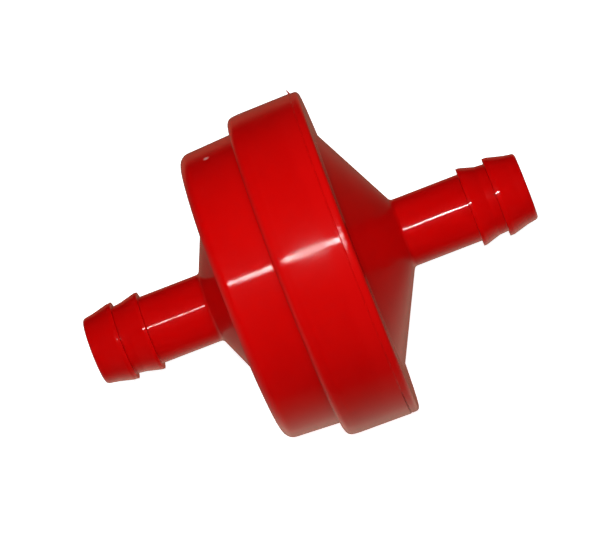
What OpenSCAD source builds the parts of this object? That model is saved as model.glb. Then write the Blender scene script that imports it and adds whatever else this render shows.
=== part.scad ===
// Inline fuel filter for small engines: a squat disc body with a barbed hose stem at each end.
// The body is two moulded shells, a cup and a lid, welded together around a pleated disc element.
// X is the flow axis, inlet at -X and outlet at +X, and the origin is the middle of the length.

/* [Hose stems] */
// Distance from the middle of the filter to each stem's tip
tip_x = 22.6; // [21:0.1:28]
// Radius of a stem at its tip
tip_r = 3.33; // [3.1:0.01:3.5]
// Radius of the plain stem that the hose clamp closes on
stem_r = 3.42; // [3.2:0.01:3.7]
// Radius of the barb crests
crest_r = 4; // [3.8:0.05:4.6]
// Radius at the foot of the second barb
barb_foot_r = 3.47; // [3.3:0.01:3.7]
// Length of the first barb's ramp, from the tip to its crest
first_ramp = 3.04; // [2.4:0.02:3.4]
// Distance from one crest to the next
barb_pitch = 2.73; // [2.2:0.01:3.4]
// Length of the narrow flat on each crest
crest_land = 0.14; // [0.08:0.02:0.3]
// Length of the steep step behind each crest
crest_step = 0.12; // [0.05:0.01:0.3]
// Radius of the fuel passage through each stem
passage_r = 2.2; // [1.6:0.05:2.4]
// Radius of the round around each tip
tip_round = 0.35; // [0.1:0.05:0.5]

/* [Body] */
// Distance from the middle to where the inlet cone meets its stem
inlet_cone_x = 10.35; // [9.9:0.05:11.5]
// Distance from the middle to where the outlet cone meets its stem
outlet_cone_x = 9.7; // [9.3:0.05:11.5]
// Outer face of the cup's end wall
cup_face_x = -8.07; // [-9:0.01:-8]
// Radius at which the inlet cone meets the cup's end wall
inlet_cone_r = 8.7; // [5.5:0.1:10]
// Outer radius of the cup's small chamber at its end wall
chamber_r = 14.75; // [14.6:0.05:15.2]
// Outer radius of the small chamber where it meets the collar
chamber_wide_r = 15.05; // [14.8:0.05:15.3]
// Round of the small chamber's outer edge
chamber_round = 1.3; // [0.5:0.1:2]
// Face of the step where the collar begins
collar_x = -2.38; // [-3:0.01:-2]
// Outer radius of the collar at the step
collar_r = 16.6; // [16.3:0.01:17]
// Outer radius of the collar at the weld
collar_wide_r = 16.72; // [16.5:0.01:17.2]
// Round of the collar's outer edge
collar_round = 1.2; // [0.5:0.1:1.5]
// End of the collar, where the weld begins
collar_end_x = 4.17; // [4:0.01:4.3]

/* [Lid] */
// Start of the lid's rim, where the weld ends
rim_x = 4.45; // [4.4:0.01:4.5]
// Outer face of the lid
lid_face_x = 5.15; // [5.1:0.01:5.6]
// Outer radius of the lid's rim
rim_r = 16.62; // [16.4:0.01:17]
// Round of the rim's outer edge
rim_round = 0.5; // [0.3:0.05:0.5]
// Radius at which the outlet cone meets the lid's face
outlet_cone_r = 12.45; // [11:0.05:13]

/* [Walls] */
// Thickness of the end walls and cones
wall = 1.25; // [1:0.05:1.4]
// Inner radius of the small chamber
chamber_bore_r = 13.6; // [13.4:0.05:13.8]
// Inner radius of the collar, which takes the lid's spigot
socket_r = 15.3; // [15.2:0.02:15.4]
// Shoulder inside the collar that carries the element
shoulder_x = -1.2; // [-1.3:0.05:-1]
// Outer radius of the lid's spigot
spigot_r = 15.2; // [15:0.02:15.2]
// Inner radius of the lid's spigot
spigot_bore_r = 13.9; // [13.6:0.05:14.2]

/* [Element] */
// Thickness of the flat seat gasket
gasket_t = 0.6; // [0.4:0.05:0.8]
// Thickness of the element frame's flange
flange_t = 0.8; // [0.5:0.05:1]
// Thickness of the support grid
grid_t = 1; // [0.8:0.1:1.2]
// Outer radius of the gasket, the frame and the grid
element_r = 15.15; // [15:0.01:15.15]
// Outer radius of the frame's skirt
skirt_r = 13.4; // [13.2:0.05:13.5]
// Radial thickness of the frame's skirt
skirt_t = 0.7; // [0.5:0.05:0.9]
// Radial thickness of the sealing compound inside the skirt
potting_t = 0.6; // [0.4:0.05:0.8]
// Height of the pleats
pleat_h = 2.7; // [2:0.1:3]
// Distance from one pleat to the next
pleat_pitch = 2.2; // [1.8:0.1:3]
// Thickness of the filter cloth
cloth_t = 0.3; // [0.2:0.05:0.4]
// Number of radial bars in the support grid
grid_bars = 6; // [4:1:8]
// Width of the support grid's bars and inner rings
grid_bar_w = 1; // [0.8:0.1:1.4]

/* [Hidden] */
$fn = 96;

red = [0.72, 0.03, 0.03];
weld_red = [0.55, 0.02, 0.02];

cup_inner_x = cup_face_x + wall;             // inner face of the cup's end wall
lid_inner_x = lid_face_x - wall;             // inner face of the lid
inlet_slope = (inlet_cone_r - stem_r) / (inlet_cone_x + cup_face_x);
outlet_slope = (outlet_cone_r - stem_r) / (outlet_cone_x - lid_face_x);
gasket_x = shoulder_x + gasket_t;            // gasket's far face, where the frame sits
flange_x = gasket_x + flange_t;              // flange's far face, where the grid sits
grid_x = flange_x + grid_t;                  // grid's far face, where the spigot presses
skirt_bore_r = skirt_r - skirt_t;
cloth_r = skirt_bore_r - potting_t;
pleat_x = flange_x - pleat_h;                // tips of the pleats on the inlet side
gasket_bore_r = chamber_bore_r + 0.1;
edge_break = 0.12;                           // broken edges on each side of the weld
bead_r = collar_wide_r - 0.28;               // weld bead lies a little below the collar
spur_w = 0.5;                                // flash left standing on the bead
spur_r = collar_wide_r + 0.2;
spur_tilt = 40;                              // angle of the flash from +Z towards +Y
grid_ring_r = 7.5;                           // middle radius of the grid's inner ring
grid_hub_r = 2.6;

// Points on an arc in the (r, x) half plane, a0 to a1 in degrees from the +r direction
function arc(r, x, radius, a0, a1, steps = 8) =
    [for (i = [0:steps]) let (a = a0 + (a1 - a0) * i / steps) [r + radius * cos(a), x + radius * sin(a)]];

// Outline of a hose stem on the +X side, from where it meets a cone out to the tip's inner edge
function stem_outline(cone_x) = let (crest_1 = tip_x - first_ramp, crest_2 = crest_1 - barb_pitch) concat(
    [
        [stem_r, cone_x],
        [stem_r, crest_2 - crest_land - crest_step],
        [crest_r, crest_2 - crest_land],
        [crest_r, crest_2],
        [barb_foot_r, crest_1 - crest_land - crest_step],
        [crest_r, crest_1 - crest_land],
        [crest_r, crest_1],
    ],
    arc(tip_r - tip_round, tip_x - tip_round, tip_round, 0, 90),
    arc(passage_r + tip_round / 2, tip_x - tip_round / 2, tip_round / 2, 90, 180)
);

// The same outline on the -X side, from the tip inwards
function mirrored(points) = [for (i = [len(points) - 1:-1:0]) [points[i][0], -points[i][1]]];

// Turns an (r, x) outline about the X axis
module turned(points) {
    rotate([0, 90, 0]) rotate_extrude() polygon(points);
}

// A plain ring about the X axis, between x0 and x1
module ring(r_in, r_out, x0, x1) {
    turned([[r_in, x0], [r_out, x0], [r_out, x1], [r_in, x1]]);
}

// Cup half: barbed inlet, cone, small chamber, shoulder and the collar that takes the lid
module inlet_housing() {
    outside = concat(
        mirrored(stem_outline(inlet_cone_x)),
        [[inlet_cone_r, cup_face_x]],
        arc(chamber_r - chamber_round, cup_face_x + chamber_round, chamber_round, -90, 0),
        [[chamber_wide_r, collar_x]],
        arc(collar_r - collar_round, collar_x + collar_round, collar_round, -90, 0),
        [[collar_wide_r, collar_end_x - edge_break], [collar_wide_r - edge_break, collar_end_x]]
    );
    inside = concat(
        [[socket_r, collar_end_x], [socket_r, shoulder_x], [chamber_bore_r, shoulder_x]],
        arc(chamber_bore_r - wall / 2, cup_inner_x + wall / 2, wall / 2, 0, -90),
        [
            [inlet_cone_r, cup_inner_x],
            [passage_r, cup_inner_x - (inlet_cone_r - passage_r) / inlet_slope],
        ]
    );
    color(red) turned(concat(outside, inside));
}

// Lid half: rim, spigot, cone and barbed outlet
module outlet_cover() {
    outside = concat(
        [[rim_r - edge_break, rim_x], [rim_r, rim_x + edge_break]],
        arc(rim_r - rim_round, lid_face_x - rim_round, rim_round, 0, 90),
        [[outlet_cone_r, lid_face_x]],
        stem_outline(outlet_cone_x)
    );
    inside = [
        [passage_r, lid_inner_x + (outlet_cone_r - passage_r) / outlet_slope],
        [outlet_cone_r, lid_inner_x],
        [spigot_bore_r, lid_inner_x],
        [spigot_bore_r, grid_x],
        [spigot_r, grid_x],
        [spigot_r, rim_x],
    ];
    color(red) turned(concat(outside, inside));
}

// Melt ring that joins the collar to the lid, with a small spur of flash standing on it
module weld_bead() {
    spur_r_in = bead_r - 0.3;
    color(weld_red) union() {
        turned(concat(
            [[socket_r, collar_end_x]],
            [[bead_r - edge_break, collar_end_x]],
            [[bead_r, (collar_end_x + rim_x) / 2]],
            [[bead_r - edge_break, rim_x], [socket_r, rim_x]]
        ));
        rotate([-spur_tilt, 0, 0]) translate([0, 0, spur_r_in])
            rotate([90, 0, 0]) linear_extrude(height = spur_w, center = true)
                polygon([
                    [collar_end_x, 0],
                    [rim_x, 0],
                    [(collar_end_x + rim_x) / 2 + edge_break / 2, spur_r - spur_r_in],
                    [(collar_end_x + rim_x) / 2 - edge_break / 2, spur_r - spur_r_in],
                ]);
    }
}

// Flat gasket between the shoulder and the element's frame
module seat_gasket() {
    color("dimgray") ring(gasket_bore_r, element_r, shoulder_x, gasket_x);
}

// Flanged ring that carries the pleated cloth
module element_frame() {
    color("ivory") turned([
        [skirt_bore_r, pleat_x],
        [skirt_r, pleat_x],
        [skirt_r, gasket_x],
        [element_r, gasket_x],
        [element_r, flange_x],
        [skirt_bore_r, flange_x],
    ]);
}

// Sealing compound that closes the pleats' ends inside the skirt
module edge_potting() {
    color("khaki") ring(cloth_r, skirt_bore_r, pleat_x, flange_x);
}

// Pleated cloth, one folded sheet cut to a disc
module filter_cloth() {
    folds = 2 * ceil(cloth_r / pleat_pitch) + 1;
    lean = cloth_t / sin(atan(pleat_pitch / 2 / (pleat_h - cloth_t)));
    face = [for (i = [-folds:folds]) [i * pleat_pitch / 2, (i % 2 == 0) ? pleat_h - lean : 0]];
    back = [for (i = [folds:-1:-folds]) [i * pleat_pitch / 2, (i % 2 == 0) ? pleat_h : lean]];
    color("wheat") translate([pleat_x, 0, 0]) intersection() {
        rotate([0, 90, 0]) cylinder(r = cloth_r, h = pleat_h);
        rotate([0, 0, 90]) mirror([0, 1, 0])
            linear_extrude(height = 2 * cloth_r + 2, center = true) polygon(concat(face, back));
    }
}

// Grid on the outlet side that holds the cloth against the flow
module support_grid() {
    color("ivory") union() {
        ring(skirt_bore_r, element_r, flange_x, grid_x);
        ring(grid_ring_r - grid_bar_w / 2, grid_ring_r + grid_bar_w / 2, flange_x, grid_x);
        ring(grid_hub_r - grid_bar_w / 2, grid_hub_r + grid_bar_w / 2, flange_x, grid_x);
        for (i = [0:grid_bars - 1])
            rotate([i * 360 / grid_bars, 0, 0])
                translate([flange_x, -grid_bar_w / 2, grid_hub_r])
                    cube([grid_t, grid_bar_w, skirt_bore_r + 0.4 - grid_hub_r]);
    }
}

inlet_housing();
outlet_cover();
weld_bead();
seat_gasket();
element_frame();
edge_potting();
filter_cloth();
support_grid();
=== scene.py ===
import math

import bpy
from mathutils import Matrix, Vector


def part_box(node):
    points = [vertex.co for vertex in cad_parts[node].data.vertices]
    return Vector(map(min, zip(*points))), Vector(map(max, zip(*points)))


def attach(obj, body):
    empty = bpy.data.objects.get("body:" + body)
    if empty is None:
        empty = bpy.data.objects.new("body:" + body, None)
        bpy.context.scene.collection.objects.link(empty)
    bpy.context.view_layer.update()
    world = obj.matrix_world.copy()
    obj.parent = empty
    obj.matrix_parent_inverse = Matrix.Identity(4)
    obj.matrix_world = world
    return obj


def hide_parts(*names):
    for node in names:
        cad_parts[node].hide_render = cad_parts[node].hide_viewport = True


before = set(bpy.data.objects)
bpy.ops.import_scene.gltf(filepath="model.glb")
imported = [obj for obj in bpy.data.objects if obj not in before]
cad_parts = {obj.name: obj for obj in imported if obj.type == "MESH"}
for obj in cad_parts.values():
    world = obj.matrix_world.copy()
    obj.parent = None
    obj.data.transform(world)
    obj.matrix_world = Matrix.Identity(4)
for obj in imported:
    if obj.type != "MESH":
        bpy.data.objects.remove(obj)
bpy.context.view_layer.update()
MM = 0.001
scene = bpy.context.scene


# ---------------------------------------------------------------- dimensions, in mm

# Places along X. The stems are alike, and the inlet's is the outlet's turned round.
TIP, CREST_1, CREST_2 = 22.6, 19.56, 16.83  # a stem's end, its outer barb and its inner barb
CHAMBER_X, STEP_X = -8.07, -2.38            # end wall of the chamber, step up to the collar
COLLAR_X, RIM_X, LID_X = 4.25, 4.38, 5.15   # end of the collar, start of the lid's rim, its face
JOINT_X = 4.31                              # middle of the joint between collar and rim
SHOULDER_X, SPIGOT_X = -1.2, 1.2            # seat of the element, end of the lid's spigot

# Radii
STEM_R, CREST_R, BORE_R = 3.46, 4.0, 2.2
INLET_CONE_R, OUTLET_CONE_R = 8.7, 12.45    # where the cones meet the end faces
CHAMBER_BORE_R, SOCKET_R, SPIGOT_R, SPIGOT_BORE_R = 13.6, 15.3, 15.2, 13.9
GROOVE_R = 16.4                             # below this the gap at the joint is wider


# ---------------------------------------------------------------- camera

# Angles in degrees: round from the front, above the floor, and roll.
AZIMUTH, ELEVATION, ROLL = 3.4066, 39.950, -23.2355
DISTANCE = 309.386 * MM
AIM = Vector((-1.0192, -0.0170, 0.0520)) * MM
LENS, SENSOR_W = 189.849, 36

camera = bpy.data.objects.new("Camera", bpy.data.cameras.new("Camera"))
scene.collection.objects.link(camera)
scene.camera = camera
camera.data.sensor_fit = "HORIZONTAL"
camera.data.sensor_width = SENSOR_W
camera.data.lens = LENS
camera.data.clip_start = 0.01
camera.data.clip_end = 20
turn = (
    Matrix.Rotation(math.radians(AZIMUTH), 4, "Z")
    @ Matrix.Rotation(math.radians(90 - ELEVATION), 4, "X")
    @ Matrix.Rotation(math.radians(ROLL), 4, "Z")
)
camera.matrix_world = Matrix.Translation(AIM) @ turn @ Matrix.Translation((0, 0, DISTANCE))


# ---------------------------------------------------------------- shader nodes

def material(name, **sockets):
    """New material, its node tree and its shader, with the shader's sockets set."""
    mat = bpy.data.materials.new(name)
    mat.use_nodes = True
    shader = mat.node_tree.nodes["Principled BSDF"]
    for key, value in sockets.items():
        shader.inputs[key.replace("_", " ")].default_value = value
    return mat, mat.node_tree, shader


def object_coords(tree):
    return tree.nodes.new("ShaderNodeTexCoord").outputs["Object"]


def separated(tree, vector):
    """The X, Y and Z outputs of a vector."""
    made = tree.nodes.new("ShaderNodeSeparateXYZ")
    tree.links.new(vector, made.inputs["Vector"])
    return made.outputs


def ramp(tree, source, stops):
    """Colour ramp. stops are (position, colour) pairs, where a colour may be a grey level."""
    made = tree.nodes.new("ShaderNodeValToRGB")
    tree.links.new(source, made.inputs["Fac"])
    while len(made.color_ramp.elements) < len(stops):
        made.color_ramp.elements.new(0.5)
    for element, (at, colour) in zip(made.color_ramp.elements, stops):
        element.position = at
        rgb = (colour, colour, colour) if isinstance(colour, float) else colour
        element.color = (*rgb, 1)
    return made.outputs["Color"]


def noise(tree, coords, scale, detail, rough, squeeze=None):
    """Noise over the object, in features per metre. squeeze scales each axis first."""
    if squeeze:
        mapping = tree.nodes.new("ShaderNodeMapping")
        mapping.inputs["Scale"].default_value = squeeze
        tree.links.new(coords, mapping.inputs["Vector"])
        coords = mapping.outputs["Vector"]
    made = tree.nodes.new("ShaderNodeTexNoise")
    made.inputs["Scale"].default_value = scale
    made.inputs["Detail"].default_value = detail
    made.inputs["Roughness"].default_value = rough
    tree.links.new(coords, made.inputs["Vector"])
    return made.outputs["Fac"]


def math_node(tree, operation, a, b=None):
    made = tree.nodes.new("ShaderNodeMath")
    made.operation = operation
    for socket, value in zip(made.inputs, (a, b)):
        if value is None:
            continue
        if isinstance(value, (int, float)):
            socket.default_value = value
        else:
            tree.links.new(value, socket)
    return made.outputs["Value"]


def add_scaled(tree, base, value, factor):
    """base + value * factor."""
    return math_node(tree, "ADD", base, math_node(tree, "MULTIPLY", value, factor))


def map_range(tree, value, lo, hi, to_lo=0.0, to_hi=1.0):
    """Smooth step from to_lo at lo to to_hi at hi."""
    made = tree.nodes.new("ShaderNodeMapRange")
    made.interpolation_type = "SMOOTHSTEP"
    tree.links.new(value, made.inputs["Value"])
    limits = {"From Min": lo, "From Max": hi, "To Min": to_lo, "To Max": to_hi}
    for key, number in limits.items():
        made.inputs[key].default_value = number
    return made.outputs["Result"]


def band(tree, along, start, full, fading, end):
    """1 from full to fading, in mm along the axis, and 0 before start and after end."""
    rise = map_range(tree, along, start * MM, full * MM)
    fall = map_range(tree, along, end * MM, fading * MM)
    return math_node(tree, "MULTIPLY", rise, fall)


def mix_colour(tree, factor, a, b, blend="MIX"):
    made = tree.nodes.new("ShaderNodeMix")
    made.data_type = "RGBA"
    made.blend_type = blend
    colours = [s for s in made.inputs if s.type == "RGBA"]
    if isinstance(factor, (int, float)):
        made.inputs["Factor"].default_value = factor
    else:
        tree.links.new(factor, made.inputs["Factor"])
    for socket, value in zip(colours, (a, b)):
        if isinstance(value, tuple):
            socket.default_value = (*value, 1)
        else:
            tree.links.new(value, socket)
    return [s for s in made.outputs if s.type == "RGBA"][0]


def bump(tree, shader, height, strength, depth):
    """Relief on the shader. depth is in mm."""
    made = tree.nodes.new("ShaderNodeBump")
    made.inputs["Strength"].default_value = strength
    made.inputs["Distance"].default_value = depth * MM
    tree.links.new(height, made.inputs["Height"])
    tree.links.new(made.outputs["Normal"], shader.inputs["Normal"])


# ---------------------------------------------------------------- red plastic

# Two painted highlights, pale glints near the top of the body: place and size in mm.
PAINTED_GLINTS = (((-5.2, 3.66, 14.45), 0.42), ((-0.9, 8.3, 14.4), 0.3))


def red_colour(tree, coords, axes, melted):
    """Cloudy red with painted glints. The thin walled stems get a deeper red, painted shade for the
    light lost through their walls.
    """
    y2 = math_node(tree, "MULTIPLY", axes["Y"], axes["Y"])
    z2 = math_node(tree, "MULTIPLY", axes["Z"], axes["Z"])
    radius = math_node(tree, "SQRT", math_node(tree, "ADD", y2, z2))
    thick = map_range(tree, radius, 3.6 * MM, 9 * MM)
    cloudy = noise(tree, coords, 160, 3, 0.55)
    body = ramp(tree, cloudy, [(0.3, (0.72, 0.0022, 0.0022)), (0.7, (0.76, 0.003, 0.0028))])
    # painted shade: the same red, made darker on the thin stems
    stems = ramp(tree, cloudy, [(0.3, (0.62, 0.0015, 0.0016)), (0.7, (0.66, 0.002, 0.002))])
    colour = mix_colour(tree, thick, stems, body)
    if melted:
        streaks = ramp(tree, noise(tree, coords, 900, 4, 0.6), [(0.35, 0.0), (0.65, 0.5)])
        colour = mix_colour(tree, streaks, colour, (0.6, 0.0018, 0.0018))
    # pale spots painted into the colour as highlights, glints of light on the body
    for place, size in PAINTED_GLINTS:
        gap = tree.nodes.new("ShaderNodeVectorMath")
        gap.operation = "DISTANCE"
        tree.links.new(coords, gap.inputs[0])
        gap.inputs[1].default_value = Vector(place) * MM
        painted_glint = map_range(tree, gap.outputs["Value"], size * MM, 0.0, 0.0, 0.9)
        colour = mix_colour(tree, painted_glint, colour, (0.95, 0.62, 0.58))
    return colour


def red_roughness(tree, along, uneven, smear, melted):
    """Polished, duller in the middle of the collar and where melt is smeared."""
    base, spread = (0.1, 0.14) if melted else (0.045, 0.05)
    rough = add_scaled(tree, base, uneven, spread)
    rough = add_scaled(tree, rough, band(tree, along, -1.4, 0.8, 2.6, 3.4), 0.065)
    return add_scaled(tree, rough, smear, 0.06)


def red_relief(tree, coords, uneven, smear):
    """Soft unevenness with the mould's turning marks, fine grain, and crumbs in the smear."""
    turning_marks = noise(tree, coords, 900, 2, 0.5, squeeze=(6.0, 0.6, 0.6))
    height = add_scaled(tree, uneven, turning_marks, 0.35)
    height = add_scaled(tree, height, noise(tree, coords, 3000, 2, 0.5), 0.9)
    crumbs = math_node(tree, "SUBTRACT", noise(tree, coords, 1900, 3, 0.6), 0.5)
    return add_scaled(tree, height, math_node(tree, "MULTIPLY", crumbs, smear), 5.0)


def red_plastic(name, melted=False):
    """Glossy translucent moulding plastic. melted is the rougher plastic of the joint."""
    mat, tree, shader = material(name, IOR=1.5, Subsurface_Scale=1.8 * MM,
                                 Coat_Weight=0.12, Coat_Roughness=0.4)
    shader.inputs["Subsurface Radius"].default_value = (1.0, 0.08, 0.08)
    coords = object_coords(tree)
    axes = separated(tree, coords)
    along = axes["X"]
    uneven = noise(tree, coords, 240, 3, 0.5)
    smear = band(tree, along, 4.3, 4.45, 4.9, 5.4)  # melt on the rim beside the joint
    tree.links.new(red_colour(tree, coords, axes, melted), shader.inputs["Base Color"])
    tree.links.new(red_roughness(tree, along, uneven, smear, melted), shader.inputs["Roughness"])
    bump(tree, shader, red_relief(tree, coords, uneven, smear), 0.35, 0.04 if melted else 0.02)
    # light inside the plastic can't cross the gap between pieces, so close to it there is none
    from_joint = math_node(tree, "ABSOLUTE", math_node(tree, "SUBTRACT", along, JOINT_X * MM))
    weight = map_range(tree, from_joint, 0.9 * MM, 2.2 * MM)
    tree.links.new(weight, shader.inputs["Subsurface Weight"])
    return mat


# ---------------------------------------------------------------- materials of the filter element

def nylon(name):
    mat, tree, shader = material(name, IOR=1.53)
    coords = object_coords(tree)
    cloudy = noise(tree, coords, 300, 3, 0.55)
    colour = ramp(tree, cloudy, [(0.3, (0.74, 0.70, 0.60)), (0.7, (0.82, 0.79, 0.70))])
    tree.links.new(colour, shader.inputs["Base Color"])
    grain = noise(tree, coords, 3500, 2, 0.6)
    tree.links.new(map_range(tree, grain, 0.2, 0.8, 0.38, 0.52), shader.inputs["Roughness"])
    bump(tree, shader, grain, 0.25, 0.02)
    return mat


def rubber(name):
    mat, tree, shader = material(name, IOR=1.5)
    grain = noise(tree, object_coords(tree), 2500, 4, 0.65)
    colour = ramp(tree, grain, [(0.3, (0.018, 0.018, 0.018)), (0.7, (0.035, 0.034, 0.033))])
    tree.links.new(colour, shader.inputs["Base Color"])
    tree.links.new(map_range(tree, grain, 0.2, 0.8, 0.6, 0.8), shader.inputs["Roughness"])
    bump(tree, shader, grain, 0.4, 0.03)
    return mat


def potting(name):
    mat, tree, shader = material(name, IOR=1.52)
    cloudy = noise(tree, object_coords(tree), 500, 4, 0.6)
    colour = ramp(tree, cloudy, [(0.3, (0.66, 0.53, 0.28)), (0.7, (0.78, 0.68, 0.44))])
    tree.links.new(colour, shader.inputs["Base Color"])
    tree.links.new(map_range(tree, cloudy, 0.2, 0.8, 0.3, 0.45), shader.inputs["Roughness"])
    bump(tree, shader, cloudy, 0.3, 0.05)
    return mat


def threads(tree, coords, axis):
    """Parallel threads, one after another along the axis."""
    wave = tree.nodes.new("ShaderNodeTexWave")
    wave.wave_type = "BANDS"
    wave.bands_direction = axis
    wave.inputs["Scale"].default_value = 900
    wave.inputs["Distortion"].default_value = 0.6
    wave.inputs["Detail"].default_value = 1.0
    tree.links.new(coords, wave.inputs["Vector"])
    return wave.outputs["Fac"]


def woven(name):
    mat, tree, shader = material(name, IOR=1.45, Sheen_Weight=0.2)
    coords = object_coords(tree)
    weave = math_node(tree, "MAXIMUM", threads(tree, coords, "Y"), threads(tree, coords, "Z"))
    cloudy = noise(tree, coords, 400, 3, 0.55)
    thread = ramp(tree, cloudy, [(0.3, (0.78, 0.72, 0.56)), (0.7, (0.88, 0.84, 0.72))])
    # painted shade: the gaps between the threads are painted a darker brown
    gap_shade = ramp(tree, weave, [(0.2, 0.55), (0.8, 0.0)])
    tree.links.new(mix_colour(tree, gap_shade, thread, (0.5, 0.43, 0.3)), shader.inputs["Base Color"])
    tree.links.new(map_range(tree, weave, 0.0, 1.0, 0.95, 0.75), shader.inputs["Roughness"])
    bump(tree, shader, weave, 0.6, 0.06)
    return mat


# ---------------------------------------------------------------- turned shapes

CORNER_STEPS = 7  # faces in the round of a corner
SEGMENTS = 192    # faces round the axis
# A side over LONG_SIDE gets a point SUPPORT_GAP from each end, which keeps its shading straight.
LONG_SIDE, SUPPORT_GAP = 0.5, 0.06


def corner(before, point, after, steps):
    """Points of a corner between its neighbours, rounded as far as it fits."""
    x, r, radius = point
    here = Vector((x, r))
    to_back = Vector(before[:2]) - here
    to_ahead = Vector(after[:2]) - here
    angle = to_back.angle(to_ahead)
    if radius <= 0 or angle > math.radians(179):
        return [(x, r)]
    reach = radius / math.tan(angle / 2)
    limit = 0.499 * min(to_back.length, to_ahead.length)
    if reach > limit:
        radius *= limit / reach
        reach = limit
    start = here + to_back.normalized() * reach
    end = here + to_ahead.normalized() * reach
    middle = (to_back.normalized() + to_ahead.normalized()).normalized()
    centre = here + middle * (radius / math.sin(angle / 2))
    a0 = math.atan2(start.y - centre.y, start.x - centre.x)
    a1 = math.atan2(end.y - centre.y, end.x - centre.x)
    sweep = (a1 - a0 + math.pi) % (2 * math.pi) - math.pi
    turns = [a0 + sweep * k / steps for k in range(steps + 1)]
    return [(centre.x + radius * math.cos(t), centre.y + radius * math.sin(t)) for t in turns]


def rounded(points, steps=CORNER_STEPS):
    """Closed (x, r) outline in mm, from corners given as (x, r, radius of the round)."""
    outline = []
    for i, point in enumerate(points):
        outline += corner(points[i - 1], point, points[(i + 1) % len(points)], steps)
    supported = []
    for here, ahead in zip(outline, outline[1:] + outline[:1]):
        supported.append(here)
        length = math.dist(here, ahead)
        if length > LONG_SIDE:
            for t in (SUPPORT_GAP / length, 1 - SUPPORT_GAP / length):
                supported.append(tuple(a + (b - a) * t for a, b in zip(here, ahead)))
    return supported


def facing_out(outline):
    """The outline in the order that turns its faces outwards."""
    before = outline[-1:] + outline[:-1]
    area = sum(a[0] * b[1] - b[0] * a[1] for a, b in zip(before, outline))
    return outline if area > 0 else outline[::-1]


def lathe(outline, segments=SEGMENTS, shape=None):
    """Points and faces of an (x, r) outline turned about X. shape(x, r, angle) may move a point."""
    verts, faces = [], []
    n = len(outline)
    for i in range(segments):
        a = 2 * math.pi * i / segments
        for x, r in outline:
            if shape:
                x, r = shape(x, r, a)
            verts.append((x, -r * math.sin(a), r * math.cos(a)))
    for i in range(segments):
        j = (i + 1) % segments
        for k in range(n):
            m = (k + 1) % n
            faces.append((i * n + k, i * n + m, j * n + m, j * n + k))
    return verts, faces


def add_piece(name, verts, faces, mat, slot, replaced, sharp):
    """Piece from points in mm, in place of a CAD node. Edges over sharp degrees stay crisp."""
    mesh = bpy.data.meshes.new(name)
    mesh.from_pydata([tuple(c * MM for c in v) for v in verts], [], faces)
    mesh.validate()
    mesh.polygons.foreach_set("use_smooth", [True] * len(mesh.polygons))
    mesh.set_sharp_from_angle(angle=math.radians(sharp))
    mesh.materials.append(mat)
    obj = bpy.data.objects.new(name, mesh)
    scene.collection.objects.link(obj)
    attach(obj, "root")
    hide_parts(replaced)


# ---------------------------------------------------------------- housing, cover and weld

def stem(cone_x, ramp_r, drop):
    """Hose stem on the +X side, as (x, r, corner radius) points from the cone to the bore.

    ramp_r is the inner ramp's least radius, drop the fall of the outer barb's land.
    """
    return [
        (cone_x, STEM_R, 0.45),
        (CREST_2 - 0.13, STEM_R, 0.04),
        (CREST_2 - 0.10, CREST_R, 0.02),
        (CREST_2 + 0.20, CREST_R - 0.005, 0.15),
        (CREST_1 - 1.05, ramp_r, 0.6),
        (CREST_1 - 0.13, 3.49, 0.04),
        (CREST_1 - 0.10, CREST_R, 0.02),
        (CREST_1 + 0.12, CREST_R - drop, 0.05),
        (CREST_1 + 0.34, CREST_R - drop - 0.003, 0.2),
        (CREST_1 + 1.9, 3.57, 1.5),
        (TIP, 3.38, 0.33),
        (TIP, BORE_R, 0.2),
    ]


def inlet_shell():
    """Cup: stem, cone, chamber and collar outside, then socket, shoulder and chamber inside."""
    outline = [(-x, r, c) for x, r, c in reversed(stem(10.35, 3.62, 0.04))]
    outline += [
        (CHAMBER_X, INLET_CONE_R, 0.9),
        (CHAMBER_X, 14.79, 1.05),
        (STEP_X, 15.09, 0.16),
        (STEP_X, 16.53, 0.95),
        (-1.15, 16.645, 0.5),
        (COLLAR_X, 16.72, 0.02),
        (COLLAR_X, GROOVE_R, 0.0),
        (4.17, GROOVE_R, 0.0),
        (4.17, SOCKET_R, 0.03),
        (SHOULDER_X, SOCKET_R, 0.08),
        (SHOULDER_X, CHAMBER_BORE_R, 0.08),
        (-6.82, CHAMBER_BORE_R, 0.7),
        (-6.82, INLET_CONE_R, 0.5),
        (-9.627, BORE_R, 0.3),
    ]
    return lathe(facing_out(rounded(outline)))


def outlet_shell():
    """Lid: rim, face, cone and stem outside, then the cone and the spigot inside."""
    outline = [
        (4.45, GROOVE_R, 0.0),
        (RIM_X, GROOVE_R, 0.0),
        (RIM_X, 16.7, 0.02),
        (LID_X, 16.66, 0.45),
        (LID_X, OUTLET_CONE_R, 0.9),
        *stem(9.7, 3.55, 0.003),
        (9.066, BORE_R, 0.3),
        (3.9, OUTLET_CONE_R, 0.5),
        (3.9, SPIGOT_BORE_R, 0.3),
        (SPIGOT_X, SPIGOT_BORE_R, 0.06),
        (SPIGOT_X, SPIGOT_R, 0.1),
        (4.45, SPIGOT_R, 0.03),
    ]
    return lathe(facing_out(rounded(outline)))


MELT_R = 16.5                      # only the melt outside this radius is uneven
MELT_STEPS, MELT_SEGMENTS = 3, 720
SPUR_H, SPUR_TILT = 0.45, 40       # flash left standing, in degrees from +Z towards +Y
OPEN_DEPTH, OPEN_AT = 0.25, 122    # where the joint stays open, in degrees from +Z towards -Y


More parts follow.
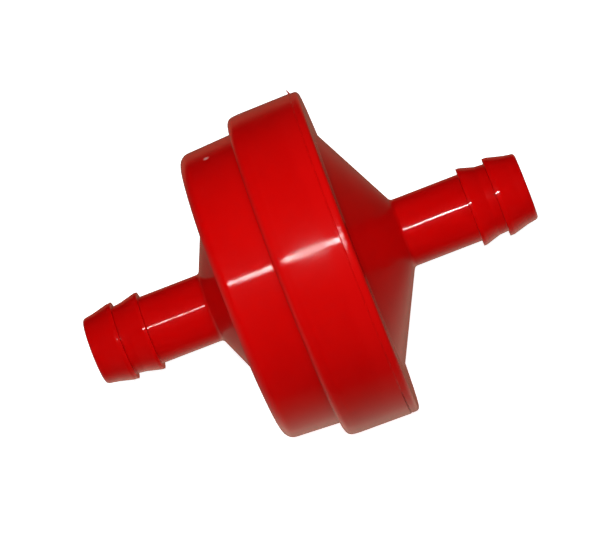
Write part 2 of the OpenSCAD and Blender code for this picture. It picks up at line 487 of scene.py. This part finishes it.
def melt_shape(x, r, a):
    """Uneven melt: it swells and sinks round the joint, and a spur of flash stands on it."""
    if r < MELT_R:
        return x, r
    swell = 0.008 * math.sin(7 * a + 0.4) + 0.008 * math.sin(17 * a + 1.9)
    swell += 0.01 * math.sin(41 * a + 0.7) + 0.012 * math.sin(83 * a + 2.2)
    swell -= OPEN_DEPTH * math.exp(-(((math.degrees(a) - OPEN_AT) / 16) ** 4))
    off = (a + math.radians(SPUR_TILT) + math.pi) % (2 * math.pi) - math.pi
    spur = SPUR_H * math.exp(-((off / 0.016) ** 2)) * math.exp(-(((x - JOINT_X) / 0.1) ** 2))
    return x - 0.5 * spur, r + swell + spur


def melt_ring():
    """Ring of melt, wider below than at its surface. Its fine waves need more faces."""
    outline = [
        (4.18, SOCKET_R, 0.0),
        (4.18, 16.38, 0.0),
        (COLLAR_X, 16.39, 0.0),
        (COLLAR_X, 16.716, 0.02),
        (4.315, 16.728, 0.04),
        (RIM_X, 16.70, 0.02),
        (RIM_X, 16.39, 0.0),
        (4.44, 16.38, 0.0),
        (4.44, SOCKET_R, 0.0),
    ]
    return lathe(facing_out(rounded(outline, MELT_STEPS)), MELT_SEGMENTS, melt_shape)


RED = red_plastic("red_shell")
MELT = red_plastic("weld_melt", melted=True)
add_piece("inlet_shell", *inlet_shell(), RED, "red_shell", "inlet_housing", 60)
add_piece("outlet_shell", *outlet_shell(), RED, "red_shell", "outlet_cover", 60)
add_piece("weld_melt_ring", *melt_ring(), MELT, "weld_melt", "weld_bead", 70)


# ---------------------------------------------------------------- filter element

NYLON = nylon("element_nylon")
ELEMENT = {
    "seat_gasket": rubber("gasket_rubber"),
    "element_frame": NYLON,
    "support_grid": NYLON,
    "edge_potting": potting("potting_compound"),
    "filter_cloth": woven("filter_cloth"),
}
for name, mat in ELEMENT.items():
    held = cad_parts[name].data.materials
    for i in range(len(held)):
        held[i] = mat
    if not held:
        held.append(mat)


# ---------------------------------------------------------------- floor

def add_floor(half):
    """Plain white floor that only the camera sees, under the lowest point of the collar."""
    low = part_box("inlet_housing")[0].z
    corners = [(-half, -half, low), (half, -half, low), (half, half, low), (-half, half, low)]
    mesh = bpy.data.meshes.new("floor")
    mesh.from_pydata(corners, [], [(0, 1, 2, 3)])
    floor = bpy.data.objects.new("floor", mesh)
    scene.collection.objects.link(floor)
    mat, _, shader = material("floor", Base_Color=(0.9, 0.9, 0.9, 1), Roughness=0.9,
                              Emission_Strength=1.0)
    shader.inputs["Emission Color"].default_value = (1, 1, 1, 1)
    mesh.materials.append(mat)
    floor.visible_glossy = False
    floor.visible_diffuse = False
    floor.visible_shadow = False


add_floor(3.0)


# ---------------------------------------------------------------- world

# Brightness round the part's axis. Degrees run from level at the back, down through the ground
# and up at the front.
AROUND = (
    (-10, (0.004, 0.003, 0.003)),
    (-2, (0.15, 0.03, 0.02)),
    (4, (0.36, 0.10, 0.06)),
    (17, (0.38, 0.09, 0.055)),
    (28, (0.22, 0.08, 0.055)),
    (42, (0.27, 0.09, 0.06)),
    (50, (0.28, 0.16, 0.12)),
    (58, (0.48, 0.32, 0.24)),
    (74, (0.66, 0.43, 0.34)),
    (90, (0.46, 0.32, 0.25)),
    (112, (0.15, 0.11, 0.08)),
    (130, (0.006, 0.005, 0.005)),
)
# Its share by how far a direction points along the axis, from 0, square to it, to 1.
SIDEWAYS = [(0.0, 0.65), (0.35, 1.0), (0.67, 0.26), (0.85, 0.06)]


def direction(elevation, azimuth=0.0):
    """Unit vector at that elevation, seen from the part. Azimuth 0 is the front, -Y."""
    e, a = math.radians(elevation), math.radians(azimuth)
    return Vector((math.cos(e) * math.sin(a), -math.cos(e) * math.cos(a), math.sin(e)))


def glow(tree, coords, towards, power, colour):
    """A soft patch of light in the surroundings."""
    dot = tree.nodes.new("ShaderNodeVectorMath")
    dot.operation = "DOT_PRODUCT"
    tree.links.new(coords, dot.inputs[0])
    dot.inputs[1].default_value = towards
    facing = math_node(tree, "MAXIMUM", dot.outputs["Value"], 0.0)
    return mix_colour(tree, math_node(tree, "POWER", facing, power), (0, 0, 0), colour)


def add_world():
    world = bpy.data.worlds.new("World")
    scene.world = world
    world.use_nodes = True
    tree = world.node_tree
    tree.nodes.clear()
    output = tree.nodes.new("ShaderNodeOutputWorld")
    background = tree.nodes.new("ShaderNodeBackground")
    tree.links.new(background.outputs["Background"], output.inputs["Surface"])
    coords = tree.nodes.new("ShaderNodeTexCoord").outputs["Generated"]
    axes = separated(tree, coords)
    below = math_node(tree, "MULTIPLY", axes["Z"], -1.0)
    turn = math_node(tree, "ARCTAN2", below, axes["Y"])
    share_of_turn = add_scaled(tree, 0.5, turn, 0.5 / math.pi)
    around = ramp(tree, share_of_turn, [(0.5 + at / 360, colour) for at, colour in AROUND])
    sideways = ramp(tree, math_node(tree, "ABSOLUTE", axes["X"]), SIDEWAYS)
    around = mix_colour(tree, 1.0, around, sideways, "MULTIPLY")
    inlet_glow = glow(tree, coords, direction(-20, -90), 4.0, (0.16, 0.13, 0.11))
    tree.links.new(mix_colour(tree, 1.0, inlet_glow, around, "ADD"), background.inputs["Color"])
    background.inputs["Strength"].default_value = 1.5


add_world()


# ---------------------------------------------------------------- lights

WHITE, WARM, WARMER = (1, 1, 1), (1, 0.95, 0.9), (1, 0.9, 0.8)


def place_light(name, data, placed, mirrored):
    """Light at a matrix. mirrored says whether the glossy surfaces reflect it."""
    obj = bpy.data.objects.new(name, data)
    scene.collection.objects.link(obj)
    obj.matrix_world = placed
    obj.visible_camera = False
    obj.visible_glossy = mirrored


def area_light(name, at, size, power, colour=WHITE, mirrored=False):
    """Light that faces the part. size is (along X, across) in mm."""
    data = bpy.data.lights.new(name, "AREA")
    data.shape = "RECTANGLE"
    data.size, data.size_y = size[0] * MM, size[1] * MM
    data.energy = power
    data.color = colour
    away = at.normalized()
    side = Vector((1, 0, 0)) if abs(away.x) < 0.9 else Vector((0, 1, 0))
    side -= away * side.dot(away)
    side.normalize()
    turn = Matrix((side, away.cross(side), away)).transposed().to_4x4()
    place_light(name, data, Matrix.Translation(at) @ turn, mirrored)


def stem_light(name, x, power):
    """Narrow beam from low at the front on the stem at x mm."""
    towards = direction(-27)
    data = bpy.data.lights.new(name, "SPOT")
    data.energy = power
    data.spot_size = math.radians(6)
    data.spot_blend = 0.8
    data.shadow_soft_size = 10 * MM
    turn = towards.to_track_quat("Z", "Y").to_matrix().to_4x4()
    at = Vector((x, 0, 0)) * MM + towards * 0.2
    place_light(name, data, Matrix.Translation(at) @ turn, mirrored=False)


def above_camera(x):
    """A point over the camera, x mm along the part's axis."""
    at = direction(50.9) * (310 * MM)
    at.x = x * MM
    return at


area_light("Key", above_camera(4), (60, 40), 0.63)
area_light("Bounce", Vector((0, 0, -120)) * MM, (200, 200), 0.048, WARMER)
area_light("Right", Vector((260, -60, 60)) * MM, (160, 160), 0.068, WARM)
stem_light("Low_left", -16.5, 0.36)
stem_light("Low_right", 16.5, 0.3)
area_light("Back", direction(-12, 180) * 0.35, (200, 200), 0.13, WARM)

# these two make the streak of light on the body and the stems
area_light("Strip", above_camera(-31), (72, 12), 0.067, mirrored=True)
area_light("Core", above_camera(24), (36, 12), 0.088, mirrored=True)

scene.view_settings.view_transform = "Standard"
scene.view_settings.look = "None"
